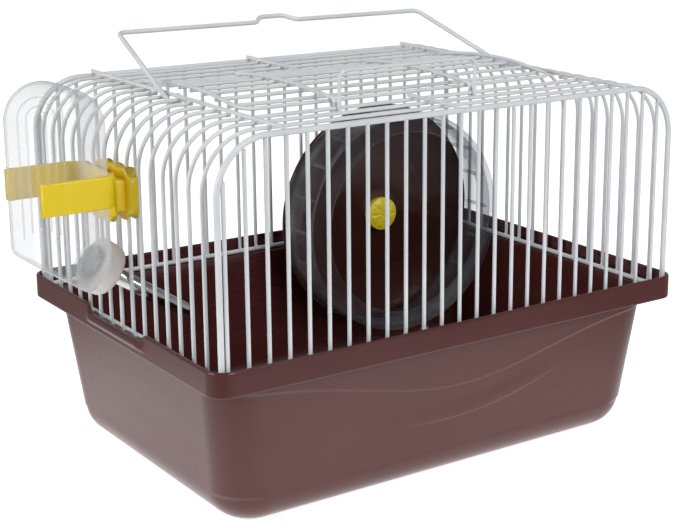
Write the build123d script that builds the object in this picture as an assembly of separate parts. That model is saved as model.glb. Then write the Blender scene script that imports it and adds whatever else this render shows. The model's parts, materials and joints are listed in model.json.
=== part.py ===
from build123d import *
import os
from math import cos, radians, sin, sqrt, tan

os.makedirs("parts", exist_ok=True)

# A small wire hamster cage on a tapered plastic tray. Millimetres, +Z up, +X along the front,
# +Y to the back. Heights are given from a datum tray_drop above the tray's underside; save() lifts
# every node by that much, so the finished tray stands on Z = 0.

# Tray
rim_length, rim_depth, rim_top = 230.0, 168.4, 66.0
band_bottom, ledge_top = 56.0, 59.25
tray_drop, foot_radius = 5.2, 15.0
base_length, base_depth = 204.0, 142.0
neck_length, neck_depth = 218.0, 155.0
wall, rim_wall, floor_thickness, rim_corner, tub_corner = 2.0, 1.6, 2.4, 8.0, 17.0

# Wire cage: centre lines of the welded wires and their radii
leg_x, hoop_x, base_x = 111.0, 110.2, 109.3
bar_y, hoop_y, base_y = 80.8, 80.0, 79.1
base_z, wire_foot = 60.5, 59.6
hoop_z, roof_z, bend_radius = 150.5, 150.9, 22.0
thin, hoop_radius, base_radius, bail_radius = 0.8, 1.2, 1.0, 1.0
side_gaps, front_bars_count, first_bar_x, bar_pitch = 16, 25, -108.0, 8.75
rail_x, rail_z, short_rail_x = 82.5, 152.4, -5.0
side_pitch = 2 * bar_y / side_gaps

# Roof door, its latch and the carrying bail
door_x, door_front, hinge_y = 77.0, -41.0, 40.4
curl = 1.7
stiffener_centre, stiffener_half = -4.4, 33.5
latch_centre, latch_half, latch_top, latch_y = -7.5, 33.0, 165.5, -50.5
bail_y, bail_z, bail_reach, bail_tilt = 2.3, 150.25, 63.2, 18.9
bail_hook_x, bail_tip_x, bail_corner_x = 85.8, 79.6, 78.4

# Running wheel, on a bracket clamped to the back bars
wheel_x, wheel_z, wheel_front, wheel_back = 53.875, 74.0, 34.0, 62.0
wheel_radius, flange_inner, drum_wall, rungs = 53.0, 43.7, 1.5, 20
axle_radius, hub_radius = 2.5, 8.0

# Drinking bottle; its neck, cap and tube share one sloping axis through the side bars
bottle_x, bottle_y, bottle_top = -137.3, -5.05, 162.5
bottle_half, bottle_depth, bottle_wall, bottle_edge = 14.9, 31.4, 1.2, 4.0
tube_slope, tube_pass_z = 34.0, 82.5
cap_radius, cap_start, cap_end = 11.0, -16.4, -7.8
neck_radius, neck_end = 7.0, -10.6
tube_radius, tube_bore, tube_end, ball_radius = 3.2, 2.6, 32.0, 2.5
clip_low, clip_high, clip_wall, clip_block, block_drop = 116.7, 129.2, 2.1, 20.6, 3.2


def save(name, shapes):
    """Lift one node and write it; a list becomes a group of separate solids."""
    solids = shapes if isinstance(shapes, list) else shapes.solids()
    solids = [solid.moved(Location((0, 0, tray_drop))) for solid in solids]
    export_step(Compound(children=solids) if len(solids) > 1 else solids[0], f"parts/{name}.step")


def rod(start, end, radius):
    """A straight round wire."""
    line = Vector(*end) - Vector(*start)
    return Solid.make_cylinder(radius, line.length, Plane(origin=start, z_dir=line))


def bent_wire(points, bends, radius):
    """A round wire along straight runs joined by tangent bends."""
    path = FilletPolyline(*points, radius=bends)
    return sweep(Plane(origin=path @ 0, z_dir=path % 0) * Circle(radius), path=path)


def curled_end(x, y, start, centre_z, arc):
    """A wire end curled around a cross wire; start is the point where the curl begins."""
    away = Vector(0, start[1] - y, start[2] - centre_z)
    along = Vector(1, 0, 0).cross(away)
    profile = Plane(origin=start, z_dir=along) * Circle(thin)
    return revolve(profile, Axis((x, y, centre_z), (1, 0, 0)), revolution_arc=arc)


def slab(length, depth, corner, z):
    return Plane.XY.offset(z) * RectangleRounded(length, depth, corner)


def ring(outer, inner, y_from, y_to, x=wheel_x, z=wheel_z):
    """A flat ring or disc about an axis along Y."""
    disc = Plane((x, y_from, z), x_dir=(1, 0, 0), z_dir=(0, 1, 0)) * Circle(outer)
    body = extrude(disc, y_to - y_from)
    if inner:
        hole = Plane((x, y_from - 1, z), x_dir=(1, 0, 0), z_dir=(0, 1, 0)) * Circle(inner)
        body -= extrude(hole, y_to - y_from + 2)
    return body


# ---------------------------------------------------------------- tray
def tub(extra, z_from, z_to, bottom_fillet):
    """The tapered tub's shape, grown by extra on every side."""
    def width_at(z, base, neck):
        return base + (neck - base) * (z + tray_drop) / (band_bottom + tray_drop) + 2 * extra

    sections = []
    for z in (z_from, z_to):
        length, depth = width_at(z, base_length, neck_length), width_at(z, base_depth, neck_depth)
        sections.append(slab(length, depth, tub_corner + extra, z))
    body = loft(sections)
    if bottom_fillet:
        body = fillet(body.edges().group_by(Axis.Z)[0], bottom_fillet)
    return body


def wave_prism(lower, upper):
    """A prism through both long walls, between a curve below and a curve or straight runs above."""
    bottom = Spline(*[(x, 0, z) for x, z in lower])
    if len(upper) > 2:
        top = Spline(*[(x, 0, z) for x, z in upper])
    else:
        ends = [lower[-1]] + upper + [lower[0]]
        top = Polyline(*[(x, 0, z) for x, z in ends])
    outline = Wire([bottom] + list(top.edges()))
    return extrude(make_face(outline), rim_depth, dir=(0, 1, 0), both=True)


def make_tray():
    shell = extrude(slab(rim_length, rim_depth, rim_corner, band_bottom), rim_top - band_bottom)
    inside = (rim_length - 2 * rim_wall, rim_depth - 2 * rim_wall, rim_corner - rim_wall)
    shell -= extrude(slab(*inside, ledge_top), rim_top - ledge_top + 1)
    shell -= extrude(slab(*inside, band_bottom - 1), 2.6)
    shell += tub(0, -tray_drop, band_bottom + 1.6, foot_radius)
    crest = [(-105, 54.6), (-72, 50.2), (-48, 44.6), (-27, 39.2), (-7, 36.4)]
    crest += [(14, 36.7), (39, 41), (65, 46.8), (105, 54.6)]
    lower_crest = [(-30, 25.8), (-9, 21.8), (7, 22.1), (24, 24.3), (42, 28.4), (60, 35)]
    lower_back = [(60, 35), (40, 31.5), (18, 28.0), (-6, 26.0), (-30, 25.8)]
    proud = tub(0.8, -tray_drop, band_bottom, 0)
    shell += proud & wave_prism(crest, [(105, 57), (-105, 57)])
    shell += tub(0.6, -tray_drop, band_bottom, 0) & wave_prism(lower_crest, lower_back)
    shell -= tub(-wall, floor_thickness - tray_drop, ledge_top + 1, foot_radius - wall)
    shell = chamfer(shell.edges().filter_by(lambda e: e.center().Z > rim_top - 0.01), 0.4)
    # finger notch in the left rim, with a rolled lip below it
    notch = Pos(-rim_length / 2, 0, rim_top + 1) * Box(3 * wall, 54, 9)
    shell -= fillet(notch.edges().filter_by(Axis.X).group_by(Axis.Z)[0], 4.0)
    lip = rod((-rim_length / 2 + 0.2, -25, 60.3), (-rim_length / 2 + 0.2, 25, 60.3), 1.5)
    shell += fillet(lip.edges(), 1.2)
    # locating lugs and slots on the right rim, between the side wires
    for y in (-4.5 * side_pitch, 4.5 * side_pitch):
        shell += Pos(rim_length / 2 - rim_wall - 0.5, y, 63.2) * Box(2.0, 7, 3.0)
        shell -= Pos(rim_length / 2 - rim_wall / 2, y, 60.4) * Box(3 * rim_wall, 4.5, 2.2)
    return shell


# ---------------------------------------------------------------- wire cage
row_ys = [bar_y - side_pitch * i for i in range(side_gaps + 1)]
rear_rows, stub_rows, front_rows = row_ys[1:5], row_ys[5:13], row_ys[13:16]
bar_xs = [first_bar_x + bar_pitch * i for i in range(front_bars_count)]


def make_base_wire():
    """Four straight runs and four corner bends, butted end to end."""
    corner = 2.0
    x_run, y_run = base_x - corner, base_y - corner
    solids = [rod((-x_run, y, base_z), (x_run, y, base_z), base_radius) for y in (-base_y, base_y)]
    solids += [rod((x, -y_run, base_z), (x, y_run, base_z), base_radius) for x in (-base_x, base_x)]
    profile = Plane((base_x, y_run, base_z), x_dir=(1, 0, 0), z_dir=(0, 1, 0)) * Circle(base_radius)
    bend = revolve(profile, Axis((x_run, y_run, base_z), (0, 0, 1)), revolution_arc=90)
    for flip_x in (False, True):
        half = bend.mirror(Plane.YZ) if flip_x else bend
        solids += [half.solid(), half.mirror(Plane.XZ).solid()]
    return solids


def make_end_hoop(y):
    """The heavy hoop that edges the front or back wall."""
    corners = [(-hoop_x, y, wire_foot), (-hoop_x, y, hoop_z), (hoop_x, y, hoop_z), (hoop_x, y, wire_foot)]
    return bent_wire(corners, bend_radius - 0.6, hoop_radius)


def make_end_bars(y):
    """Upright bars from the base wire to the underside of the end hoop."""
    bend = bend_radius - 0.6
    bars = []
    for x in bar_xs:
        beyond = max(abs(x) - (hoop_x - bend), 0.0)
        set_in = 1.2 if beyond else 0.75
        top = hoop_z - bend + sqrt((bend - set_in) ** 2 - beyond**2)
        bars.append(rod((x, y, wire_foot), (x, y, top), thin))
    return bars


def make_side_legs(side):
    """Upright legs of the side wires, on the left (-1) or right (1)."""
    knee = roof_z - bend_radius
    return [rod((side * leg_x, y, wire_foot), (side * leg_x, y, knee), thin) for y in row_ys[1:-1]]


def make_shoulders(side):
    """The bends that carry the side wires over onto the roof."""
    solids = []
    for y in row_ys[1:-1]:
        knee = roof_z - bend_radius
        profile = Plane((side * leg_x, y, knee), z_dir=(0, 0, 1)) * Circle(thin)
        centre = Axis((side * (leg_x - bend_radius), y, knee), (0, 1, 0))
        solids.append(revolve(profile, centre, revolution_arc=-90 * side).solid())
    return solids


def make_roof_wires(rows):
    reach = leg_x - bend_radius
    return [rod((-reach, y, roof_z), (reach, y, roof_z), thin) for y in rows]


def make_roof_stubs(side):
    """Short roof runs beside the door opening, ending just past the rail."""
    reach, inner_end = leg_x - bend_radius, rail_x - 0.6
    return [rod((side * reach, y, roof_z), (side * inner_end, y, roof_z), thin) for y in stub_rows]


def make_rail(x, y_from, y_to):
    return rod((x, y_from, rail_z), (x, y_to, rail_z), thin)


# ---------------------------------------------------------------- door, latch and bail
crown_points = [(hinge_y, roof_z + curl), (13.0, 155.7), (-13.0, 155.7), (door_front, 152.3)]


def crown_z(y):
    """Height of the door's side wires at a depth y."""
    for (y_a, z_a), (y_b, z_b) in zip(crown_points, crown_points[1:]):
        if y_b <= y <= y_a:
            return z_a + (z_b - z_a) * (y_a - y) / (y_a - y_b)
    return crown_points[-1][1]


def make_door_frame():
    """One wire: curled round the hinge wire, up the left side, along the front and back."""
    left = [(-door_x, y, z) for y, z in crown_points]
    right = [(door_x, y, z) for y, z in reversed(crown_points)]
    frame = bent_wire(left + right, [180, 180, 6, 6, 180, 180], thin)
    for x in (-door_x, door_x):
        frame += curled_end(x, hinge_y, (x, hinge_y, roof_z + curl), roof_z, -255)
    return frame


def make_door_bars():
    half = door_x + 0.4
    rows = [y for y in stub_rows if y > door_front + 5]
    return [rod((-half, y, crown_z(y) - 1.5), (half, y, crown_z(y) - 1.5), thin) for y in rows]


def make_stiffener(x):
    """A wire across the door bars, its front end bent down over the door's front wire."""
    points = [(x, 33.0, crown_z(33.0)), (x, 13.0, crown_z(13.0)), (x, -13.0, crown_z(-13.0))]
    points += [(x, door_front - 3.6, 153.6), (x, door_front - 3.9, 148.4)]
    return bent_wire(points, [180, 180, 2.2], thin)


def make_latch():
    """U-shaped wire loop whose feet curl round the fixed wire in front of the door."""
    leg_y = latch_y - curl
    low, high = latch_centre - latch_half, latch_centre + latch_half
    corners = [(low, leg_y, roof_z), (low, leg_y, latch_top)]
    corners += [(high, leg_y, latch_top), (high, leg_y, roof_z)]
    latch = bent_wire(corners, 3.5, thin)
    for x in (low, high):
        latch += curled_end(x, latch_y, (x, leg_y, roof_z), roof_z, 250)
    return latch


def make_bail():
    """Carrying bail, modelled in its own plane and leaned back over the roof."""
    up = Vector(0, cos(radians(bail_tilt)), sin(radians(bail_tilt)))
    pivot = Vector(0, bail_y, bail_z)
    half = [(bail_tip_x, 4.6), (bail_tip_x, 0.0), (bail_hook_x, 0.0), (bail_corner_x, bail_reach),
            (10.5, bail_reach), (6.0, bail_reach + 5.2)]
    outline = [(-x, s) for x, s in half] + [(x, s) for x, s in reversed(half)]
    points = [tuple(pivot + up * s + Vector(x, 0, 0)) for x, s in outline]
    bends = [1.6, 1.6, 3.5, 4.0, 4.0]
    return bent_wire(points, bends + bends[::-1], bail_radius)


# ---------------------------------------------------------------- running wheel
def make_wheel_drum():
    disc_front = wheel_back - 2.6
    drum = ring(wheel_radius, wheel_radius - drum_wall, wheel_front, disc_front)
    drum += ring(wheel_radius, flange_inner, wheel_front, wheel_front + 1.5)
    rung = Pos(wheel_x + wheel_radius - drum_wall - 0.6, (wheel_front + disc_front) / 2, wheel_z)
    rung *= Box(1.6, disc_front - wheel_front, 1.4)
    axis = Axis((wheel_x, 0, wheel_z), (0, 1, 0))
    for i in range(rungs):
        drum += rung.rotate(axis, 360 / rungs * i)
    return drum


def make_wheel_disc():
    disc_front = wheel_back - 2.6
    disc = ring(wheel_radius + 0.5, 0, disc_front, wheel_back)
    disc -= ring(wheel_radius * 0.78, 0, disc_front - 1, disc_front + 0.8)
    disc += ring(hub_radius, 0, disc_front, wheel_back + 3.0)
    disc -= ring(axle_radius + 0.08, 0, disc_front - 1, wheel_back + 4.0)
    return disc


def make_hub_cap():
    """Domed cap over the axle's head, with raised radial segments."""
    back = wheel_back - 2.6
    cap = fillet(ring(hub_radius, 0, back - 5.0, back).edges().sort_by(Axis.Y)[0], 2.2)
    cap -= ring(5.2, 0, back - 3.4, back + 1)
    axis = Axis((wheel_x, 0, wheel_z), (0, 1, 0))
    groove = Pos(wheel_x + 3.6, back - 5.0, wheel_z) * Box(4.2, 0.9, 0.6)
    for i in range(8):
        cap -= groove.rotate(axis, 45 * i)
    return cap


def make_axle():
    """Shouldered pin: a head in front of the wheel's hub, the shank held in the bracket."""
    return ring(4.2, 0, wheel_back - 5.2, wheel_back - 3.2) + ring(axle_radius, 0, wheel_back - 3.2, 77.0)


def make_bracket():
    """Plate inside the back bars, with a boss that holds the axle."""
    outline = Plane((wheel_x, 77.0, wheel_z), x_dir=(1, 0, 0), z_dir=(0, 1, 0)) * RectangleRounded(30, 14, 5)
    plate = extrude(outline, 3.0)
    plate += ring(7.0, 0, wheel_back + 3.6, 77.0)
    plate -= ring(axle_radius, 0, wheel_back + 3.0, 77.0)
    plate -= ring(1.6, 0, 77.0, 81.0)
    return plate


def make_clamp():
    """Matching plate outside the back bars."""
    outline = Plane((wheel_x, 81.6, wheel_z), x_dir=(1, 0, 0), z_dir=(0, 1, 0)) * RectangleRounded(30, 14, 5)
    plate = fillet(extrude(outline, 2.6).edges().group_by(Axis.Y)[-1], 0.8)
    return plate - ring(1.6, 0, 81.0, 85.0)


def make_clamp_screw():
    screw = ring(1.6, 0, 78.0, 84.2) + fillet(ring(3.2, 0, 84.2, 86.0).edges().sort_by(Axis.Y)[-1], 0.8)
    cross = Pos(wheel_x, 86.0, wheel_z) * Box(3.6, 1.6, 0.8)
    return screw - cross - cross.rotate(Axis((wheel_x, 0, wheel_z), (0, 1, 0)), 90)


# ---------------------------------------------------------------- bottle, cap, tube and clip
slope_cos, slope_sin = cos(radians(tube_slope)), sin(radians(tube_slope))
tube_plane = Plane((-leg_x, bottle_y, tube_pass_z), x_dir=(0, 1, 0), z_dir=(slope_cos, 0, -slope_sin))


def barrel(radius, s_from, s_to):
    """A round bar about the drinking tube's axis; s is measured from the side wires inwards."""
    return extrude(tube_plane.offset(s_from) * Circle(radius), s_to - s_from)


def bottle_shape(inset):
    """Upright flat-faced body with a domed top and a bottom cut parallel to the tube."""
    half, outer, inner = bottle_half - inset, bottle_x - bottle_half + inset, bottle_x + bottle_half - inset
    dome = bottle_top - bottle_half
    low, start = cap_radius - inset, cap_start - 0.35 - inset
    foot_x = -leg_x + slope_cos * start - slope_sin * low
    foot_z = tube_pass_z - slope_sin * start - slope_cos * low
    heel_z = foot_z + (foot_x - outer) * tan(radians(tube_slope))
    mouth_z = foot_z + (inner - foot_x) / tan(radians(tube_slope))
    line = Polyline((inner, 0, dome), (inner, 0, mouth_z), (foot_x, 0, foot_z), (outer, 0, heel_z),
                    (outer, 0, dome))
    top = ThreePointArc((outer, 0, dome), (bottle_x, 0, dome + half), (inner, 0, dome))
    side = make_face(Wire(list(line.edges()) + [top]))
    body = Pos(0, bottle_y, 0) * extrude(side, bottle_depth / 2 - inset, dir=(0, 1, 0), both=True)
    corners = body.edges().filter_by(Axis.Y).sort_by(Axis.X)
    body = fillet([e for e in corners[:2] if e.center().Z < dome - 1], 5.0 - inset)
    corners = body.edges().filter_by(Axis.Y)
    corners = corners.filter_by(lambda e: abs(e.center().Z - mouth_z) < 0.1 or e.center().Z < foot_z + 0.1)
    body = fillet(corners, 3.0 - inset)
    return fillet(body.faces().filter_by(Axis.Y).edges(), bottle_edge - inset)


def make_bottle():
    bottle = bottle_shape(0) + barrel(neck_radius, cap_start - 9, neck_end)
    bottle -= bottle_shape(bottle_wall)
    return bottle - barrel(neck_radius - 1.3, cap_start - 8, neck_end + 1)


def make_cap():
    cap = fillet(barrel(cap_radius, cap_start, cap_end).edges().sort_by(Axis.X)[-1], 2.5)
    cap -= barrel(neck_radius + 0.1, cap_start - 1, cap_end - 1.9)
    return cap - barrel(tube_radius, cap_start, cap_end + 1)


def make_seal():
    washer = barrel(neck_radius, neck_end + 0.05, neck_end + 0.85)
    return washer - barrel(tube_radius, neck_end - 1, neck_end + 2)


def make_tube():
    tube = barrel(tube_radius, neck_end - 3.0, tube_end) - barrel(tube_bore, neck_end - 4.0, tube_end - 0.5)
    return tube - barrel(2.1, neck_end, tube_end + 1)


def make_ball():
    seat = sqrt(ball_radius**2 - 2.1**2) + 0.06
    centre = tube_plane.origin + tube_plane.z_dir * (tube_end - 0.5 - seat)
    return Pos(*centre) * Sphere(ball_radius)


def make_clip():
    """Spring clip: two arms round the bottle and a block that grips the side wires."""
    def band(offset):
        length, depth = 2 * (bottle_half + offset), bottle_depth + 2 * offset
        outline = RectangleRounded(length, depth, bottle_edge + offset)
        return Pos(bottle_x, bottle_y, clip_low) * extrude(outline, clip_high - clip_low)

    middle = (clip_low + clip_high) / 2
    block_front = bottle_x + bottle_half + clip_wall - 0.6
    block_length = -110.6 - block_front
    block = Pos(block_front + block_length / 2, bottle_y, middle - block_drop)
    block *= Box(block_length, 32, clip_block)
    block = fillet(block.edges().filter_by(Axis.X), 7.0)
    waist = Pos(block_front + 4.0, bottle_y, middle - block_drop)
    block -= waist * (Box(5.0, 40, 40) - Box(6.0, 26, clip_high - clip_low))
    mouth = Pos(bottle_x - bottle_half - 6, bottle_y, middle) * Box(15.0, 60, 40)
    clip = band(clip_wall) - band(0.05) - mouth
    clip += block
    for y in (2 * side_pitch, side_pitch, 0.0, -side_pitch, -2 * side_pitch):
        clip -= rod((-leg_x, y, 90), (-leg_x, y, 150), 1.15)
        clip -= Pos(-leg_x + 1.0, y, middle) * Box(2.0, 2.3, 60)
    return clip


# ---------------------------------------------------------------- write the nodes
save("tray", make_tray())
save("base_wire", make_base_wire())
save("front_hoop", make_end_hoop(-hoop_y))
save("rear_hoop", make_end_hoop(hoop_y))
save("front_bars", make_end_bars(-bar_y))
save("rear_bars", make_end_bars(bar_y))
save("left_side_wires", make_side_legs(-1))
save("right_side_wires", make_side_legs(1))
save("left_shoulder_wires", make_shoulders(-1))
save("right_shoulder_wires", make_shoulders(1))
save("rear_roof_wires", make_roof_wires(rear_rows))
save("front_roof_wires", make_roof_wires(front_rows))
save("left_roof_stubs", make_roof_stubs(-1))
save("right_roof_stubs", make_roof_stubs(1))
save("left_roof_rail", make_rail(-rail_x, -81.2, 81.2))
save("right_roof_rail", make_rail(rail_x, -81.2, 81.2))
save("rear_short_rail", make_rail(short_rail_x, 38.8, 81.2))
save("front_short_rail", make_rail(short_rail_x, -81.2, -48.2))
save("door_frame", make_door_frame())
save("door_bars", make_door_bars())
save("door_stiffener_left", make_stiffener(stiffener_centre - stiffener_half))
save("door_stiffener_right", make_stiffener(stiffener_centre + stiffener_half))
save("door_latch", make_latch())
save("carry_handle", make_bail())
save("wheel_drum", make_wheel_drum())
save("wheel_disc", make_wheel_disc())
save("wheel_hub_cap", make_hub_cap())
save("wheel_axle", make_axle())
save("wheel_bracket", make_bracket())
save("bracket_clamp", make_clamp())
save("clamp_screw", make_clamp_screw())
save("bottle", make_bottle())
save("bottle_cap", make_cap())
save("cap_seal", make_seal())
save("drinking_tube", make_tube())
save("tube_ball", make_ball())
save("bottle_clip", make_clip())
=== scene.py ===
import json
from math import atan2, cos, exp, pi, radians, sin, sqrt, tau

import bmesh
import bpy
from mathutils import Matrix, Vector


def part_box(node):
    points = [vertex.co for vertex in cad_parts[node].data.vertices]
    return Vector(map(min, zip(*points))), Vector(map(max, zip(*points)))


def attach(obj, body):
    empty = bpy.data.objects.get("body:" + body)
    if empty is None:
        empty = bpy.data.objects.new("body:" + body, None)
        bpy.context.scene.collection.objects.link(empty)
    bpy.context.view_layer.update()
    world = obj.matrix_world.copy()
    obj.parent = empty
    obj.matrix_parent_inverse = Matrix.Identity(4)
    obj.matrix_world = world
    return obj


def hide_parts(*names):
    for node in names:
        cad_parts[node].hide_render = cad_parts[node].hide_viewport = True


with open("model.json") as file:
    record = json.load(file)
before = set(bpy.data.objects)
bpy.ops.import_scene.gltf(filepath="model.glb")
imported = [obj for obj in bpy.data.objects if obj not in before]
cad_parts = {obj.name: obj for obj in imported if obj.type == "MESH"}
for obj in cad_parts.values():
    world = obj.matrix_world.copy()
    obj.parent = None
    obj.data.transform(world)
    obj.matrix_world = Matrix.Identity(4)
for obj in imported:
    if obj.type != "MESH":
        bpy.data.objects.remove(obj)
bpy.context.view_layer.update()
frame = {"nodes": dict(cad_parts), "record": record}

MM = 0.001


# ------------------------------------------------------------------ shader maths
class Field:
    """A node output that takes part in ordinary arithmetic."""

    def __init__(self, recipe, socket):
        self.recipe, self.socket = recipe, socket

    def _math(self, operation, first, second):
        return self.recipe.node("Math", {"operation": operation}, {0: first, 1: second})

    def __add__(self, other):
        return self._math("ADD", self, other)

    def __radd__(self, other):
        return self._math("ADD", other, self)

    def __sub__(self, other):
        return self._math("SUBTRACT", self, other)

    def __rsub__(self, other):
        return self._math("SUBTRACT", other, self)

    def __mul__(self, other):
        return self._math("MULTIPLY", self, other)

    def __rmul__(self, other):
        return self._math("MULTIPLY", other, self)

    def __truediv__(self, other):
        return self._math("DIVIDE", self, other)

    def __pow__(self, other):
        return self._math("POWER", self, other)


class Recipe:
    """One material under construction."""

    def __init__(self, name):
        self.material = bpy.data.materials.new(name)
        self.material.use_nodes = True
        self.tree = self.material.node_tree
        self.tree.nodes.clear()
        self.place = self.node("TexCoord", output="Object")

    def node(self, kind, settings=None, inputs=None, output=0):
        made = self.tree.nodes.new("ShaderNode" + kind)
        for key, value in (settings or {}).items():
            if key == "stops":
                while len(made.color_ramp.elements) < len(value):
                    made.color_ramp.elements.new(1.0)
                for element, (spot, tint) in zip(made.color_ramp.elements, value):
                    element.position, element.color = spot, (*tint, 1.0)
            else:
                setattr(made, key, value)
        for key, value in (inputs or {}).items():
            if isinstance(value, Field):
                self.tree.links.new(value.socket, made.inputs[key])
            else:
                made.inputs[key].default_value = value
        return Field(self, made.outputs[output])

    def noise(self, scale, detail=3.0, roughness=0.5, stretch=(1, 1, 1)):
        spot = self.node("Mapping", inputs={"Vector": self.place, "Scale": stretch})
        inputs = {"Vector": spot, "Scale": scale, "Detail": detail, "Roughness": roughness}
        return self.node("TexNoise", inputs=inputs)

    def between(self, value, low, high, to_low=0.0, to_high=1.0):
        ends = {"Value": value, "From Min": low, "From Max": high, "To Min": to_low, "To Max": to_high}
        return self.node("MapRange", {"interpolation_type": "SMOOTHSTEP"}, ends)

    def tint(self, mask, first, second):
        inputs = {0: mask, 6: (*first, 1.0), 7: (*second, 1.0)}
        return self.node("Mix", {"data_type": "RGBA"}, inputs, output=2)

    def bump(self, height, distance, strength=1.0):
        return self.node("Bump", inputs={"Height": height, "Distance": distance, "Strength": strength})

    def plastic(self, color, roughness, normal=None, **constants):
        inputs = {"Base Color": color, "Roughness": roughness}
        if normal:
            inputs["Normal"] = normal
        for key, value in constants.items():
            inputs[key.replace("_", " ")] = value
        return self.node("BsdfPrincipled", inputs=inputs)

    def finish(self, shader):
        output = self.tree.nodes.new("ShaderNodeOutputMaterial")
        self.tree.links.new(shader.socket, output.inputs["Surface"])
        return self.material


def moulded_plastic(name, shade, highlight, roughness, grain=0.00005, coat=0.25):
    """Glossy injection-moulded plastic: slow colour drift, flow streaks, hairline scuffs and grain."""
    mix = Recipe(name)
    drift = mix.between(mix.noise(14.0, 4.0), 0.3, 0.7)
    streak = mix.between(mix.noise(60.0, 5.0, 0.6, (0.25, 0.25, 2.2)), 0.42, 0.75)
    scuff = mix.between(mix.noise(420.0, 2.0, 0.5, (0.08, 1.0, 1.0)), 0.66, 0.8)
    color = mix.tint(drift * 0.75 + streak * 0.25, shade, highlight)
    rough = roughness + drift * 0.06 + streak * 0.05 + scuff * 0.12
    relief = mix.noise(1500.0, 2.0) * 0.6 + mix.noise(90.0, 2.0) * 0.9
    normal = mix.bump(relief, grain, 0.5)
    return mix.finish(mix.plastic(color, rough, normal, Coat_Weight=coat, Coat_Roughness=0.12))


def powder_coat():
    """White powder coat on drawn wire, a little greyer where it is thin."""
    mix = Recipe("wire_powder_coat")
    cloud = mix.between(mix.noise(45.0, 4.0), 0.32, 0.68)
    speck = mix.between(mix.noise(900.0, 2.0), 0.68, 0.76)
    color = mix.tint(cloud * 0.8 + speck * 0.4, (0.86, 0.885, 0.91), (0.76, 0.795, 0.83))
    rough = 0.30 + cloud * 0.10 + speck * 0.12
    normal = mix.bump(mix.noise(1300.0, 2.0), 0.00008, 0.5)
    return mix.finish(mix.plastic(color, rough, normal, Coat_Weight=0.2, Coat_Roughness=0.2))


def bright_steel():
    """Drawn stainless steel with fine lengthwise lines and faint water marks."""
    mix = Recipe("bright_steel")
    line = mix.noise(900.0, 3.0, 0.6, (0.08, 1.0, 1.0))
    mark = mix.between(mix.noise(160.0, 3.0), 0.52, 0.7)
    color = mix.tint(mark, (0.60, 0.60, 0.59), (0.52, 0.52, 0.51))
    normal = mix.bump(line, 0.00003, 0.5)
    return mix.finish(mix.plastic(color, 0.10 + line * 0.05 + mark * 0.04, normal, Metallic=1.0))


def clear_plastic(name, body_tint, clearness, haze_tint, edge):
    """Clear moulded plastic: see-through face on, milky and bright where it is seen edge on."""
    mix = Recipe(name)
    cloud = mix.between(mix.noise(70.0, 3.0), 0.35, 0.7)
    normal = mix.bump(mix.noise(180.0, 2.0), 0.00004, 0.3)
    facing = mix.node("LayerWeight", inputs={"Blend": 0.5, "Normal": normal}, output="Facing")
    shine = mix.node("LayerWeight", inputs={"Blend": 0.28, "Normal": normal}, output="Fresnel")
    gone = mix.node("BsdfTransparent", inputs={"Color": (*body_tint, 1.0)})
    rough = 0.06 + cloud * 0.05
    haze = mix.plastic(mix.tint(cloud * 0.25, haze_tint, body_tint), rough, normal, Coat_Weight=0.4)
    amount = (1.0 - clearness) + facing ** 3.0 * edge + shine * 0.30 + cloud * 0.015
    return mix.finish(mix.node("MixShader", inputs={0: amount, 1: gone, 2: haze}))


def milky_plastic():
    """Soft translucent white plastic."""
    mix = Recipe("milky_plastic")
    cloud = mix.between(mix.noise(120.0, 3.0), 0.35, 0.7)
    color = mix.tint(cloud, (0.88, 0.87, 0.85), (0.78, 0.76, 0.74))
    normal = mix.bump(mix.noise(700.0, 2.0), 0.00005, 0.4)
    body = mix.plastic(color, 0.32 + cloud * 0.08, normal, Subsurface_Weight=0.25, Subsurface_Scale=0.004)
    gone = mix.node("BsdfTransparent", inputs={"Color": (0.97, 0.96, 0.95, 1.0)})
    return mix.finish(mix.node("MixShader", inputs={0: 0.86 + cloud * 0.08, 1: gone, 2: body}))


def soft_rubber():
    mix = Recipe("seal_rubber")
    cloud = mix.between(mix.noise(300.0, 3.0), 0.35, 0.7)
    color = mix.tint(cloud, (0.72, 0.71, 0.68), (0.60, 0.59, 0.56))
    return mix.finish(mix.plastic(color, 0.6 + cloud * 0.15, mix.bump(cloud, 0.00005)))


# ------------------------------------------------------------------ mesh helpers
# Heights below are given from a datum this far above the tray's underside, which stands on Z = 0.
LIFT = 5.2


def piece(name, verts, faces, body, slot, material, stands_for=(), smooth=True):
    """A mesh given in millimetres, lifted from the datum and riding on a body."""
    mesh = bpy.data.meshes.new(name)
    mesh.from_pydata([(MM * x, MM * y, MM * (z + LIFT)) for x, y, z in verts], [], faces)
    mesh.validate()
    mesh.shade_smooth() if smooth else mesh.shade_flat()
    made = bpy.data.objects.new(name, mesh)
    bpy.context.scene.collection.objects.link(made)
    made.data.materials.append(material)
    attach(made, body)
    if stands_for:
        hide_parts(*stands_for)
    return made


def skin(rings, closed=True, first_cap=False, last_cap=False, loop=False):
    """Quads between rings of equal length; loop also joins the last ring to the first."""
    count = len(rings[0])
    verts = [p for ring in rings for p in ring]
    faces = []
    spans = len(rings) if loop else len(rings) - 1
    for i in range(spans):
        a, b = i * count, (i + 1) % len(rings) * count
        for j in range(count if closed else count - 1):
            k = (j + 1) % count
            faces.append((a + j, a + k, b + k, b + j))
    if first_cap:
        faces.append(tuple(reversed(range(count))))
    if last_cap:
        faces.append(tuple(range(len(verts) - count, len(verts))))
    return verts, faces


def merge(parts):
    verts, faces = [], []
    for more_verts, more_faces in parts:
        start = len(verts)
        verts += more_verts
        faces += [tuple(i + start for i in face) for face in more_faces]
    return verts, faces


def outwards(made):
    """Turn every face of a closed mesh to look outwards."""
    work = bmesh.new()
    work.from_mesh(made.data)
    bmesh.ops.recalc_face_normals(work, faces=work.faces)
    work.to_mesh(made.data)
    work.free()
    return made


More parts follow.
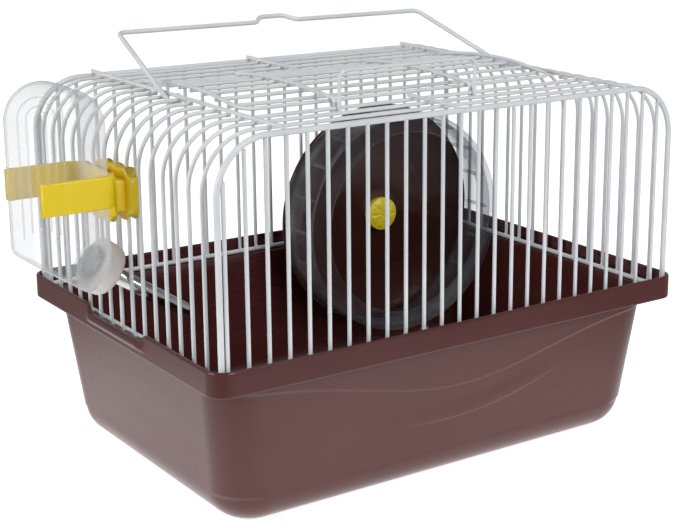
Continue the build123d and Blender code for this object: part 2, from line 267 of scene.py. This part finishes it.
def lathe(profile, origin, axis, steps, loop=False):
    """Revolve (distance along axis, radius) points about an axis."""
    along = Vector(axis).normalized()
    across = along.orthogonal().normalized()
    other = along.cross(across)
    rings = []
    for distance, radius in profile:
        centre = Vector(origin) + along * distance
        rings.append([centre + (across * cos(tau * i / steps) + other * sin(tau * i / steps)) * radius
                      for i in range(steps)])
    return skin(rings, loop=loop)


def smooth_step(low, high, value):
    share = min(max((value - low) / (high - low), 0.0), 1.0)
    return share * share * (3.0 - 2.0 * share)


# ------------------------------------------------------------------ finishes
TRAY = moulded_plastic("tray_brown", (0.074, 0.015, 0.013), (0.088, 0.020, 0.018), 0.21, coat=0.05)
DISC = moulded_plastic("wheel_disc_brown", (0.040, 0.012, 0.009), (0.058, 0.020, 0.016), 0.14)
YELLOW = moulded_plastic("hub_yellow", (0.92, 0.74, 0.02), (0.96, 0.82, 0.05), 0.30)
AMBER = moulded_plastic("clip_amber", (0.96, 0.66, 0.008), (0.98, 0.76, 0.016), 0.26)
BRACKET = moulded_plastic("bracket_white", (0.74, 0.74, 0.72), (0.80, 0.80, 0.79), 0.38)
WIRE = powder_coat()
STEEL = bright_steel()
DRUM = clear_plastic("drum_clear", (0.93, 0.935, 0.95), 0.97, (0.22, 0.22, 0.24), 0.30)
BOTTLE = clear_plastic("bottle_clear", (0.965, 0.97, 0.975), 0.90, (0.80, 0.81, 0.84), 0.50)
MILKY = milky_plastic()
RUBBER = soft_rubber()
SLOT_FINISH = {
    "tray_plastic": TRAY, "wire": WIRE, "drum_plastic": DRUM, "disc_plastic": DISC, "cap_yellow": YELLOW,
    "clip_yellow": AMBER, "steel": STEEL, "bracket_plastic": BRACKET, "bottle_plastic": BOTTLE,
    "bottle_cap_plastic": MILKY, "seal_rubber": RUBBER,
}
for part in frame["record"]["subparts"]:
    for slot in frame["nodes"][part["node"]].material_slots:
        slot.material = SLOT_FINISH[part["material_slot"]]


# ------------------------------------------------------------------ tray
RIM_TOP, BAND_BOTTOM, LEDGE = 66.0, 56.0, 59.25
UNDERSIDE, FLOOR, FOOT_RADIUS = -LIFT, 2.4 - LIFT, 15.0
HALF_RIM = (115.0, 84.2)
HALF_BASE, HALF_NECK = (102.0, 71.0), (109.0, 77.5)
RIM_WALL, TUB_WALL, RIM_CORNER, TUB_CORNER = 1.6, 2.0, 8.0, 17.0
SIDE_STEPS, END_STEPS, CORNER_STEPS = 150, 96, 14


def rounded_ring(half_x, half_y, corner, z):
    """A rounded rectangle, always with the same number of points; also each point's outward way."""
    corner = min(corner, half_x - 0.5, half_y - 0.5)
    points = []
    straight = (2 * (half_x - corner), 2 * (half_y - corner))
    for quarter, (sx, sy) in enumerate(((1, -1), (1, 1), (-1, 1), (-1, -1))):
        cx, cy = sx * (half_x - corner), sy * (half_y - corner)
        turn = quarter * pi / 2 - pi / 2
        for i in range(CORNER_STEPS):
            angle = turn + pi / 2 * i / CORNER_STEPS
            points.append((cx + corner * cos(angle), cy + corner * sin(angle), cos(angle), sin(angle)))
        angle = turn + pi / 2
        steps, run = (END_STEPS, straight[1]) if quarter % 2 == 0 else (SIDE_STEPS, straight[0])
        way = (-sin(angle), cos(angle))
        for i in range(steps):
            gone = run * i / steps
            points.append((cx + corner * cos(angle) + way[0] * gone, cy + corner * sin(angle) + way[1] * gone,
                           cos(angle), sin(angle)))
    return [(x, y, z, nx, ny) for x, y, nx, ny in points]


def wave_relief(x, z):
    """How far the long walls stand proud at a spot: a wide wave under the rim, a small crescent below."""
    crest = 54.5 - 18.4 * exp(-((x - 2.0) / 66.0) ** 2)
    upper = 0.8 * smooth_step(crest - 0.3, crest + 0.3, z)
    foot = 21.7 + 0.0033 * (x + 4.0) ** 2
    strength = max(0.0, 1.0 - ((x - 12.0) / 46.0) ** 2)
    lower = 0.6 * strength * smooth_step(foot - 0.3, foot + 0.35, z)
    lower *= 1 - smooth_step(foot + 1.0, foot + 9.0, z)
    return max(upper, lower)


def wall_half(z, grow=0.0):
    share = (z - UNDERSIDE) / (BAND_BOTTOM - UNDERSIDE)
    return tuple(b + (n - b) * share + grow for b, n in zip(HALF_BASE, HALF_NECK))


def make_tray():
    def tub_ring(z, grow, relief=False):
        half_x, half_y = wall_half(z, grow)
        ring = []
        for x, y, height, nx, ny in rounded_ring(half_x, half_y, TUB_CORNER + grow, z):
            proud = wave_relief(x, z) * smooth_step(0.80, 0.98, abs(ny)) if relief else 0.0
            ring.append((x + nx * proud, y + ny * proud, height))
        return ring

    def foot_rings(radius, z_floor, grow, steps):
        """The rolled edge between a flat floor and the sloping wall."""
        rings = []
        slope = (HALF_NECK[0] - HALF_BASE[0]) / (BAND_BOTTOM - UNDERSIDE)
        base = wall_half(z_floor, grow)
        inset = radius * sqrt(1 + slope * slope) - radius * slope
        last = atan2(1.0, slope)
        for i in range(steps + 1):
            turn = last * i / steps
            out, z = radius * sin(turn) - inset, z_floor + radius * (1 - cos(turn))
            ring = rounded_ring(base[0] + out, base[1] + out, max(TUB_CORNER + grow + out, 4.0), z)
            rings.append([(x, y, height) for x, y, height, nx, ny in ring])
        return rings

    def band_ring(shrink, z):
        ring = []
        half_x, half_y = (half - shrink for half in HALF_RIM)
        for x, y, height, nx, ny in rounded_ring(half_x, half_y, RIM_CORNER - shrink, z):
            left = smooth_step(0.9, 1.0, -nx)
            dip = left * (1 - smooth_step(22.5, 27.0, abs(y)))
            top = RIM_TOP - 3.5 * dip
            if height > 61.0:
                height = 61.0 + (height - 61.0) * (top - 61.0) / (RIM_TOP - 61.0)
            roll = left * (1 - smooth_step(22.0, 26.0, abs(y))) if shrink < 0.8 else 0.0
            swell = 1.25 * roll * sqrt(max(0.0, 1 - ((height - 60.6) / 1.9) ** 2))
            ring.append((x + nx * swell, y, height))
        return ring

    rings = [[(x * share, y * share, z) for x, y, z in foot_rings(FOOT_RADIUS, UNDERSIDE, 0.0, 1)[0]]
             for share in (0.02, 0.4, 0.8, 0.97)]
    rolled = foot_rings(FOOT_RADIUS, UNDERSIDE, 0.0, 14)
    rings += rolled
    start = rolled[-1][0][2]
    wall_rings = 110
    rings += [tub_ring(start + (BAND_BOTTOM + 0.8 - start) * i / wall_rings, 0.0, True)
              for i in range(1, wall_rings + 1)]
    rings += [band_ring(shrink, BAND_BOTTOM + 1.6) for shrink in (5.0, 3.4, RIM_WALL + 0.15)]
    rings += [band_ring(RIM_WALL, BAND_BOTTOM + 1.45), band_ring(RIM_WALL, BAND_BOTTOM + 0.2)]
    rings += [band_ring(RIM_WALL - 0.2, BAND_BOTTOM), band_ring(0.45, BAND_BOTTOM)]
    rings += [band_ring(0.12, BAND_BOTTOM + 0.12)]
    rings += [band_ring(0.0, BAND_BOTTOM + 0.45 + 0.4 * i) for i in range(23)]
    rings += [band_ring(0.12, RIM_TOP - 0.22), band_ring(0.42, RIM_TOP), band_ring(RIM_WALL - 0.42, RIM_TOP)]
    rings += [band_ring(RIM_WALL - 0.12, RIM_TOP - 0.14), band_ring(RIM_WALL, RIM_TOP - 0.45)]
    rings += [band_ring(RIM_WALL, RIM_TOP - 0.45 - 0.9 * i) for i in range(1, 7)]
    rings += [band_ring(RIM_WALL, LEDGE + 0.3), band_ring(RIM_WALL + 0.3, LEDGE), band_ring(3.6, LEDGE)]
    rings += [tub_ring(LEDGE, -TUB_WALL + 0.5), tub_ring(LEDGE - 0.2, -TUB_WALL + 0.1)]
    inner_foot = foot_rings(FOOT_RADIUS - TUB_WALL, FLOOR, -TUB_WALL, 12)
    low = inner_foot[-1][0][2]
    rings += [tub_ring(LEDGE - 0.6 - (LEDGE - 0.6 - low) * i / 12, -TUB_WALL) for i in range(12)]
    rings += inner_foot[::-1]
    rings += [[(x * share, y * share, z) for x, y, z in inner_foot[0]] for share in (0.9, 0.5, 0.02)]
    verts, faces = skin(rings, first_cap=True, last_cap=True)
    tray = piece("tray_tub", verts, faces, "base_tray", "tray_plastic", TRAY, ("tray",))
    return outwards(tray)


make_tray()


def block(centre, size, soft=0.4):
    """A small moulded block with rounded edges, as rings up its height."""
    hx, hy, hz = (s / 2 for s in size)
    rings = []
    for inset, z in ((soft, -hz), (soft * 0.3, -hz + soft * 0.3), (0, -hz + soft), (0, hz - soft),
                     (soft * 0.3, hz - soft * 0.3), (soft, hz)):
        corner, x, y = soft + 0.01, hx - inset, hy - inset
        ring = []
        for quarter in range(4):
            sx, sy = ((1, -1), (1, 1), (-1, 1), (-1, -1))[quarter]
            for i in range(4):
                turn = quarter * pi / 2 - pi / 2 + pi / 6 * i
                ring.append((centre[0] + sx * (x - corner) + corner * cos(turn),
                             centre[1] + sy * (y - corner) + corner * sin(turn), centre[2] + z))
        rings.append(ring)
    return skin(rings, first_cap=True, last_cap=True)


# ------------------------------------------------------------------ running wheel
hub_low, hub_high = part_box("wheel_hub_cap")
WHEEL_X, WHEEL_Z = (hub_low.x + hub_high.x) / 2 / MM, (hub_low.z + hub_high.z) / 2 / MM - LIFT
drum_low, drum_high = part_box("wheel_drum")
DRUM_FRONT, DRUM_BACK, DRUM_RADIUS = drum_low.y / MM, drum_high.y / MM, (drum_high.x - drum_low.x) / 2 / MM
FLANGE_HOLE, DRUM_WALL, RUNGS = 43.7, 1.5, 20


def make_drum():
    radius = DRUM_RADIUS
    profile = [(DRUM_BACK, radius - DRUM_WALL), (DRUM_BACK, radius)]
    profile += [(DRUM_FRONT + 3.2, radius), (DRUM_FRONT + 2.6, radius - 0.25), (DRUM_FRONT + 2.0, radius)]
    profile += [(DRUM_FRONT + 0.7, radius), (DRUM_FRONT + 0.2, radius - 0.2), (DRUM_FRONT, radius - 0.7)]
    profile += [(DRUM_FRONT, radius - 2.2), (DRUM_FRONT + 0.5, radius - 2.8)]
    profile += [(DRUM_FRONT + 0.7, FLANGE_HOLE + 2.0), (DRUM_FRONT + 0.1, FLANGE_HOLE + 1.4)]
    profile += [(DRUM_FRONT, FLANGE_HOLE + 0.7), (DRUM_FRONT + 0.3, FLANGE_HOLE + 0.1)]
    profile += [(DRUM_FRONT + 0.9, FLANGE_HOLE)]
    profile += [(DRUM_FRONT + 1.5, FLANGE_HOLE + 0.3), (DRUM_FRONT + 1.6, FLANGE_HOLE + 1.2)]
    profile += [(DRUM_FRONT + 2.0, radius - DRUM_WALL - 1.6), (DRUM_FRONT + 2.6, radius - DRUM_WALL - 0.3)]
    profile += [(DRUM_FRONT + 3.6, radius - DRUM_WALL)]
    shell = lathe(profile, (WHEEL_X, 0, WHEEL_Z), (0, 1, 0), 144, loop=True)
    parts = [shell]
    length = DRUM_BACK - DRUM_FRONT - 8.0
    for i in range(RUNGS):
        turn = tau * i / RUNGS
        out = Vector((cos(turn), 0, sin(turn)))
        side = Vector((-sin(turn), 0, cos(turn)))
        middle = Vector((WHEEL_X, (DRUM_FRONT + DRUM_BACK) / 2 + 1.0, WHEEL_Z))
        middle += out * (radius - DRUM_WALL - 0.1)
        rings = []
        for share in range(9):
            spot = -1 + share / 4
            swell = sqrt(max(0.02, 1 - abs(spot) ** 8))
            rings.append([middle + Vector((0, spot * length / 2, 0)) + out * sin(tau * j / 10) * 0.9 * swell
                          + side * cos(tau * j / 10) * 0.9 * swell for j in range(10)])
        parts.append(skin(rings, first_cap=True, last_cap=True))
    verts, faces = merge(parts)
    return outwards(piece("running_drum", verts, faces, "wheel", "drum_plastic", DRUM, ("wheel_drum",)))


def make_disc():
    low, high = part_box("wheel_disc")
    edge, front, back = (high.x - low.x) / 2 / MM, DRUM_BACK, (high.y / MM - 3.0)
    profile = [(back + 3.0, 2.6), (back + 3.0, 7.4), (back + 2.5, 8.0), (back + 0.4, 8.2), (back, 9.0)]
    profile += [(back, 30.0), (back, edge - 0.8), (back - 0.3, edge - 0.2), (back - 0.9, edge)]
    profile += [(front + 0.5, edge), (front + 0.12, edge - 0.25), (front, edge - 0.7)]
    dish = [(50.5, 0.0), (49.8, 0.2), (47.0, 0.5), (40.0, 1.4), (34.0, 2.0), (31.0, 1.9), (29.0, 1.35)]
    dish += [(27.0, 0.8), (24.0, 0.4), (18.0, 0.3), (12.0, 0.3), (9.5, 0.3), (8.9, 0.1), (8.4, 0.0)]
    profile += [(front + depth, radius) for radius, depth in dish]
    profile.append((front, 2.6))
    verts, faces = lathe(profile, (WHEEL_X, 0, WHEEL_Z), (0, 1, 0), 144, loop=True)
    return outwards(piece("drum_back_disc", verts, faces, "wheel", "disc_plastic", DISC, ("wheel_disc",)))


def make_hub_cap():
    """Domed cap with raised wedge segments round a small centre, like a cut fruit."""
    low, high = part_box("wheel_hub_cap")
    radius, front, back = (high.x - low.x) / 2 / MM, low.y / MM, high.y / MM
    steps, segments = 144, 8
    rings = []
    for i in range(27):
        share = i / 26
        r = radius * share
        ring = []
        for j in range(steps):
            turn = tau * j / steps
            wedge = abs((turn * segments / tau) % 1.0 - 0.5) * 2
            wall = 1 - smooth_step(0.62, 0.84, wedge + 0.9 / max(r, 0.9) * 0.35)
            inside = smooth_step(1.2, 1.9, r) * (1 - smooth_step(6.1, 6.7, r))
            dome = 1.5 * (1 - sqrt(max(0.0, 1 - (share * 0.97) ** 2.4)))
            depth = front + 0.35 + dome - 0.32 * wall * inside
            ring.append((WHEEL_X + r * cos(turn), min(depth, back), WHEEL_Z + r * sin(turn)))
        rings.append(ring)
    rings.append([(x, back, z) for x, _, z in rings[-1]])
    rings.append([(WHEEL_X + (x - WHEEL_X) * 0.6, back, WHEEL_Z + (z - WHEEL_Z) * 0.6)
                  for x, _, z in rings[-1]])
    verts, faces = skin(rings[1:], first_cap=True, last_cap=True)
    return outwards(piece("hub_cap_dome", verts, faces, "wheel", "cap_yellow", YELLOW, ("wheel_hub_cap",)))


make_drum()
make_disc()
make_hub_cap()


# ------------------------------------------------------------------ drinking bottle
SLOPE = radians(34.0)
SLOPE_WAY = Vector((cos(SLOPE), 0, -sin(SLOPE)))
TUBE_PASS = Vector((-111.0, -5.05, 82.5))
bottle_low, bottle_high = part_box("bottle")
BOTTLE_LEFT, BOTTLE_TOP = bottle_low.x / MM, bottle_high.z / MM - LIFT
BOTTLE_HALF, BOTTLE_DEPTH, BOTTLE_EDGE = 14.9, 31.4, 4.0
BOTTLE_Y = (bottle_low.y + bottle_high.y) / 2 / MM
FLUTE_DEPTH, FLUTE_PITCH = 1.0, 3.5
CAP_RADIUS, CAP_START, CAP_END, NECK_RADIUS, NECK_END = 11.0, -16.4, -7.8, 7.0, -10.6


def rounded_path(corners, spacing):
    """Points along a closed outline of (x, z, corner radius), with the inward way at each."""
    total = len(corners)
    out = []
    for i, (x, z, radius) in enumerate(corners):
        here = Vector((x, z))
        before = (Vector(corners[i - 1][:2]) - here).normalized()
        after = (Vector(corners[(i + 1) % total][:2]) - here).normalized()
        half = before.angle(after) / 2
        reach = radius / (sin(half) / cos(half))
        centre = here + (before + after).normalized() * (radius / sin(half))
        first, last = here + before * reach, here + after * reach
        a, b = first - centre, last - centre
        sweep = a.angle(b)
        steps = max(3, int(sweep * radius / spacing) + 3)
        for k in range(steps + 1):
            spot = a.normalized() * sin(sweep * (1 - k / steps)) + b.normalized() * sin(sweep * k / steps)
            spot = spot / sin(sweep)
            out.append((centre + spot * radius, -spot))
        follow = corners[(i + 1) % total]
        other = Vector(follow[:2])
        ahead = (Vector(corners[(i + 2) % total][:2]) - other).normalized()
        reach_next = follow[2] / (sin((-after).angle(ahead) / 2) / cos((-after).angle(ahead) / 2))
        goal = other - after * reach_next
        run = (goal - last).length
        steps = int(run / spacing)
        for k in range(1, steps):
            out.append((last + after * (run * k / steps), -b.normalized()))
    return out


def make_bottle():
    left, right = BOTTLE_LEFT, BOTTLE_LEFT + 2 * BOTTLE_HALF
    dome = BOTTLE_TOP
    begin = CAP_START - 0.35
    foot = TUBE_PASS + SLOPE_WAY * begin + Vector((-sin(SLOPE), 0, -cos(SLOPE))) * CAP_RADIUS
    heel = foot.z + (foot.x - left) * sin(SLOPE) / cos(SLOPE)
    mouth = foot.z + (right - foot.x) * cos(SLOPE) / sin(SLOPE)
    arch = BOTTLE_HALF - 0.01
    corners = [(left, dome, arch), (left, heel, 5.0), (foot.x, foot.z, 3.0)]
    corners += [(right, mouth, 3.0), (right, dome, arch)]
    outline = rounded_path(corners, 1.0)
    rings = []

    centre_x, spine_low, straight_in = BOTTLE_LEFT + BOTTLE_HALF, 106.0, 2.6

    def ring_at(inset, y, fluted=False, side=1):
        """One loop of a face; past a first step inwards the loops close on an upright spine."""
        share = max(0.0, (inset - straight_in) / (BOTTLE_HALF - straight_in))
        ring = []
        for spot, inward in outline:
            place = spot + inward * min(inset, straight_in)
            spine = Vector((centre_x, min(max(place.y, spine_low), BOTTLE_TOP - BOTTLE_HALF)))
            place = place.lerp(spine, share)
            ripple = 0.0
            if fluted:
                fade = smooth_step(92.0, 104.0, place.y) * smooth_step(BOTTLE_EDGE, BOTTLE_EDGE + 1.0, inset)
                ripple = -FLUTE_DEPTH * fade * (0.5 - 0.5 * cos(tau * (inset - BOTTLE_EDGE) / FLUTE_PITCH))
            ring.append((place.x, BOTTLE_Y + y + side * ripple, place.y))
        return ring

    half = BOTTLE_DEPTH / 2
    face_steps, edge_steps = 34, 9
    deepest = BOTTLE_HALF - 0.25
    for side in (-1, 1):
        part = [ring_at(BOTTLE_EDGE + (deepest - BOTTLE_EDGE) * i / face_steps, side * half, True, side)
                for i in range(face_steps, 0, -1)]
        part += [ring_at(BOTTLE_EDGE * (1 - sin(pi / 2 * i / edge_steps)),
                         side * (half - BOTTLE_EDGE * (1 - cos(pi / 2 * i / edge_steps))))
                 for i in range(edge_steps + 1)]
        rings.append(part)
    steps = 6
    flat = half - BOTTLE_EDGE
    middle = [ring_at(0.0, -flat + 2 * flat * i / steps) for i in range(1, steps)]
    loops = rings[0] + middle + rings[1][::-1]
    verts, faces = skin(loops, first_cap=True, last_cap=True)
    shell = piece("bottle_shell", verts, faces, "bottle_unit", "bottle_plastic", BOTTLE, ("bottle",))
    outwards(shell)
    profile = [(begin - 1.6, NECK_RADIUS), (NECK_END - 0.4, NECK_RADIUS), (NECK_END, NECK_RADIUS - 0.4),
               (NECK_END, NECK_RADIUS - 1.0), (NECK_END - 0.4, NECK_RADIUS - 1.3)]
    profile += [(begin - 1.6, NECK_RADIUS - 1.3), (begin - 2.2, NECK_RADIUS - 0.6)]
    neck_verts, neck_faces = lathe(profile, TUBE_PASS, SLOPE_WAY, 64, loop=True)
    neck = piece("bottle_neck", neck_verts, neck_faces, "bottle_unit", "bottle_plastic", BOTTLE)
    return shell, outwards(neck)


def make_cap():
    radius = CAP_RADIUS
    profile = [(CAP_START, NECK_RADIUS + 0.25), (CAP_START, radius - 0.5), (CAP_START + 0.4, radius - 0.08)]
    profile += [(CAP_START + 1.6, radius), (CAP_START + 2.0, radius - 0.3), (CAP_START + 2.4, radius - 0.3)]
    for i in range(8):
        turn = pi / 2 * i / 7
        profile.append((CAP_END - 2.6 + 2.6 * sin(turn), radius - 0.3 - 2.6 * (1 - cos(turn))))
    profile += [(CAP_END, 5.4), (CAP_END, 3.25), (CAP_END - 1.9, 3.25), (CAP_END - 1.9, NECK_RADIUS + 0.25)]
    steps = 120
    verts, faces = lathe(profile, TUBE_PASS, SLOPE_WAY, steps, loop=True)
    cap = piece("cap_shell", verts, faces, "cap_unit", "bottle_cap_plastic", MILKY, ("bottle_cap",))
    return outwards(cap)


def make_tube():
    radius, bore, tip, end = 3.2, 2.6, 32.0, NECK_END - 3.0
    profile = [(end, bore), (end, radius - 0.2), (end + 0.2, radius), (tip - 2.2, radius)]
    profile += [(tip - 1.6, radius - 0.05), (tip - 0.9, radius - 0.28), (tip - 0.35, radius - 0.65)]
    profile += [(tip - 0.05, radius - 1.0)]
    profile += [(tip - 0.12, 2.15), (tip - 0.5, 2.2), (tip - 1.6, bore)]
    verts, faces = lathe(profile, TUBE_PASS, SLOPE_WAY, 72, loop=True)
    return outwards(piece("spout_tube", verts, faces, "cap_unit", "steel", STEEL, ("drinking_tube",)))


make_bottle()
make_cap()
make_tube()


# ------------------------------------------------------------------ bottle clip
CLIP_LOW, CLIP_HIGH, CLIP_WALL, SIDE_WIRE_X = 116.7, 129.2, 2.1, -111.0
BLOCK_DROP = 3.2
WIRE_ROWS = (10.1, 0.0, -10.1, -20.2)


def make_clip():
    """Two springy arms round the bottle, a waisted neck and a scalloped plate grooved for the side wires."""
    middle = (CLIP_LOW + CLIP_HIGH) / 2
    reach = BOTTLE_DEPTH / 2 + 0.1 + CLIP_WALL / 2
    right = BOTTLE_LEFT + 2 * BOTTLE_HALF + 0.1 + CLIP_WALL / 2
    bend = 5.2
    first = BOTTLE_LEFT + 1.4
    path = [(first + (right - bend - first) * i / 16, -reach, 0, -1) for i in range(16)]
    path += [(right - bend + bend * sin(pi / 2 * i / 10), -reach + bend * (1 - cos(pi / 2 * i / 10)),
              sin(pi / 2 * i / 10), -cos(pi / 2 * i / 10)) for i in range(11)]
    path += [(x, -y, nx, -ny) for x, y, nx, ny in reversed(path)]
    half, soft = (CLIP_HIGH - CLIP_LOW) / 2, 0.55
    rings = []
    for i, (x, y, nx, ny) in enumerate(path):
        end = min(i, len(path) - 1 - i)
        thick = CLIP_WALL / 2 * (1 + 0.75 * max(0.0, 1 - abs(end - 0.7) / 1.4))
        tall = half * (0.97 if end == 0 else 1.0)
        ring = []
        for across, height, turn in ((1, 1, 0), (-1, 1, 1), (-1, -1, 2), (1, -1, 3)):
            for k in range(4):
                angle = turn * pi / 2 + pi / 6 * k
                out = across * (thick - soft) + soft * cos(angle)
                up = height * (tall - soft) + soft * sin(angle)
                ring.append((x + nx * out, BOTTLE_Y + y + ny * out, middle + up))
        rings.append(ring)
    parts = [skin(rings, first_cap=True, last_cap=True)]

    def scallop(y):
        return 1.3 * abs(cos(pi * (y - BOTTLE_Y) / 10.1))

    def plate(front, back, grooves):
        low, high, round_off = BOTTLE_Y - 15.9, BOTTLE_Y + 15.9, 1.4
        outline = []
        steps = 44
        for i in range(steps + 1):
            outline.append((front, low + round_off + (high - low - 2 * round_off) * (1 - i / steps)))
        outline.append((front + round_off * 0.4, low + round_off * 0.3))
        outline += [(front + round_off, low), (back - round_off, low)]
        outline.append((back - round_off * 0.3, low + round_off * 0.3))
        y = low + round_off
        while y < high - round_off:
            near = min(WIRE_ROWS, key=lambda row: abs(row - y))
            gap = abs(near - y)
            depth = 1.45 * (1 - smooth_step(1.05, 1.55, gap)) if grooves else 0.0
            outline.append((back - depth, y))
            y += 0.35
        outline += [(back - round_off * 0.3, high - round_off * 0.3), (back - round_off, high)]
        outline += [(front + round_off, high), (front + round_off * 0.4, high - round_off * 0.3)]
        centre = (front + back) / 2
        bands = []
        for share, inset in ((-1.0, 0.7), (-0.985, 0.25), (-0.95, 0.0), (-0.5, 0.0), (0.5, 0.0), (0.95, 0.0),
                             (0.985, 0.25), (1.0, 0.7)):
            band = []
            for x, y in outline:
                tall = 8.9 + scallop(y) - 2.2 * smooth_step(12.0, 15.9, abs(y - BOTTLE_Y))
                band.append((centre + (x - centre) * (1 - inset / 3.2),
                             BOTTLE_Y + (y - BOTTLE_Y) * (1 - inset / 15.0),
                             middle - BLOCK_DROP + share * tall))
            bands.append(band)
        return skin(bands, first_cap=True, last_cap=True)

    plate_back = SIDE_WIRE_X + 0.4
    parts.append(plate(right - 1.0, right + 1.3, False))
    parts.append(plate(plate_back - 4.9, plate_back, True))
    neck = ((right + plate_back) / 2 - 1.2, BOTTLE_Y, middle - BLOCK_DROP)
    parts.append(block(neck, (plate_back - right - 4.2, 25.0, 12.4), 0.8))
    verts, faces = merge(parts)
    return outwards(piece("spring_clip", verts, faces, "bottle_unit", "clip_yellow", AMBER, ("bottle_clip",)))


make_clip()

LUG_PLACE, LUG_SIZE = (112.95, 45.45, 63.2), (1.9, 7.0, 3.0)
lugs = merge([block((LUG_PLACE[0], side * LUG_PLACE[1], LUG_PLACE[2]), LUG_SIZE) for side in (-1, 1)])
outwards(piece("rim_lugs", *lugs, "base_tray", "tray_plastic", TRAY))


# ------------------------------------------------------------------ weld beads on the cage
def weld(centre, size):
    """A small flattened blob of weld metal where two wires cross."""
    rings = []
    for i in range(1, 6):
        turn = pi * i / 6
        rings.append([(centre[0] + size[0] * sin(turn) * cos(tau * j / 10),
                       centre[1] + size[1] * sin(turn) * sin(tau * j / 10),
                       centre[2] + size[2] * cos(turn)) for j in range(10)])
    return skin(rings, first_cap=True, last_cap=True)


SIDE_PITCH, END_ROW, BAR_COUNT, FIRST_BAR, BAR_PITCH = 10.1, 80.8, 25, -108.0, 8.75
ROOF_BEAD_Z, BASE_BEAD_Z, ROOF_RAIL_X, SHORT_RAIL_X = 151.6, 60.6, 82.5, -5.0
BASE_BEAD_X, BASE_BEAD_Y = 110.15, 79.95
DOOR_HINGE_Y, DOOR_FRONT_Y = 40.0, -50.0
ROOF_BEAD, SIDE_BEAD, END_BEAD = (1.15, 1.15, 0.75), (0.75, 1.1, 1.0), (1.1, 0.75, 1.0)


def make_welds():
    rows = [END_ROW - SIDE_PITCH * i for i in range(1, 16)]
    blobs = []
    for side in (-1, 1):
        blobs += [weld((side * ROOF_RAIL_X, y, ROOF_BEAD_Z), ROOF_BEAD) for y in rows]
        blobs += [weld((side * BASE_BEAD_X, y, BASE_BEAD_Z), SIDE_BEAD) for y in rows]
    outside_door = [y for y in rows if y > DOOR_HINGE_Y or y < DOOR_FRONT_Y]
    blobs += [weld((SHORT_RAIL_X, y, ROOF_BEAD_Z), ROOF_BEAD) for y in outside_door]
    for i in range(BAR_COUNT):
        x = FIRST_BAR + BAR_PITCH * i
        blobs += [weld((x, side * BASE_BEAD_Y, BASE_BEAD_Z), END_BEAD) for side in (-1, 1)]
    verts, faces = merge(blobs)
    return outwards(piece("weld_beads", verts, faces, "cage", "wire", WIRE))


make_welds()


# ------------------------------------------------------------------ floor, light and camera
def studio():
    scene = bpy.context.scene
    world = bpy.data.worlds.new("studio_air")
    world.use_nodes = True
    air = world.node_tree
    air.nodes["Background"].inputs[0].default_value = (1.0, 1.0, 1.0, 1.0)
    spot = air.nodes.new("ShaderNodeTexCoord")
    split = air.nodes.new("ShaderNodeSeparateXYZ")
    band = air.nodes.new("ShaderNodeMapRange")
    seen = air.nodes.new("ShaderNodeLightPath")
    choose = air.nodes.new("ShaderNodeMix")
    air.links.new(spot.outputs["Generated"], split.inputs[0])
    air.links.new(split.outputs["Z"], band.inputs["Value"])
    for key, value in (("From Min", 0.0), ("From Max", 0.7), ("To Min", 0.50), ("To Max", 0.10)):
        band.inputs[key].default_value = value
    air.links.new(seen.outputs["Is Camera Ray"], choose.inputs[0])
    air.links.new(band.outputs[0], choose.inputs[2])
    choose.inputs[3].default_value = 1.0
    air.links.new(choose.outputs[0], air.nodes["Background"].inputs[1])
    scene.world = world
    mesh = bpy.data.meshes.new("studio_floor")
    reach = 6.0
    corners = [(-reach, -reach, 0), (reach, -reach, 0), (reach, reach, 0), (-reach, reach, 0)]
    mesh.from_pydata(corners, [], [(0, 1, 2, 3)])
    ground = bpy.data.objects.new("studio_floor", mesh)
    scene.collection.objects.link(ground)
    paint = Recipe("floor_paint")
    soft = paint.between(paint.noise(3.0), 0.3, 0.7)
    # the lit sweep ends a little way off, so upright walls mirror a dark room above a bright foot
    nearness = paint.node("TexGradient", {"gradient_type": "SPHERICAL"}, {"Vector": paint.place})
    near = paint.between(nearness, 0.68, 0.88)
    seen_directly = paint.node("LightPath", output="Is Camera Ray")
    lit = paint.node("Math", {"operation": "MAXIMUM"}, {0: near, 1: seen_directly})
    shade = paint.tint(lit, (0.30, 0.30, 0.30), (0.91, 0.91, 0.915))
    glow = paint.tint(lit, (0.14, 0.14, 0.14), (1.0, 1.0, 1.0))
    surface = paint.plastic(shade, 0.6 + soft * 0.05, Emission_Color=glow, Emission_Strength=0.80)
    mesh.materials.append(paint.finish(surface))
    for name, place, aim, size, power in (
        ("left_softbox", (-1.5, 0.25, 0.55), (0, 0, 0.08), 0.9, 12.0),
        ("front_softbox", (0.25, -1.6, 0.95), (0, 0, 0.12), 0.7, 14.0),
        ("top_panel", (0.1, 0.1, 1.5), (0, 0, 0.08), 1.0, 3.0),
    ):
        light = bpy.data.lights.new(name, "AREA")
        light.energy, light.size = power, size
        lamp = bpy.data.objects.new(name, light)
        lamp.location = place
        lamp.rotation_euler = (Vector(aim) - Vector(place)).to_track_quat("-Z", "Y").to_euler()
        scene.collection.objects.link(lamp)
    lens = bpy.data.cameras.new("camera")
    lens.sensor_width, lens.lens = 36.0, 82.6
    lens.shift_x, lens.shift_y = -0.1437, -0.0331
    camera = bpy.data.objects.new("camera", lens)
    turn, rise, roll = radians(-36.59), radians(14.81), radians(0.4)
    back = Vector((sin(turn) * cos(rise), -cos(turn) * cos(rise), sin(rise)))
    level = (-back).cross(Vector((0, 0, 1))).normalized()
    upright = level.cross(-back)
    across = level * cos(roll) + upright * sin(roll)
    up = upright * cos(roll) - level * sin(roll)
    matrix = Matrix((across, up, back)).transposed().to_4x4()
    aim_point, aim_distance = Vector((53.19, 10.21, 70.0 + LIFT)) * MM, 0.72523
    matrix.translation = aim_point + back * aim_distance
    camera.matrix_world = matrix
    scene.collection.objects.link(camera)
    scene.camera = camera
    scene.view_settings.view_transform = "Standard"


studio()
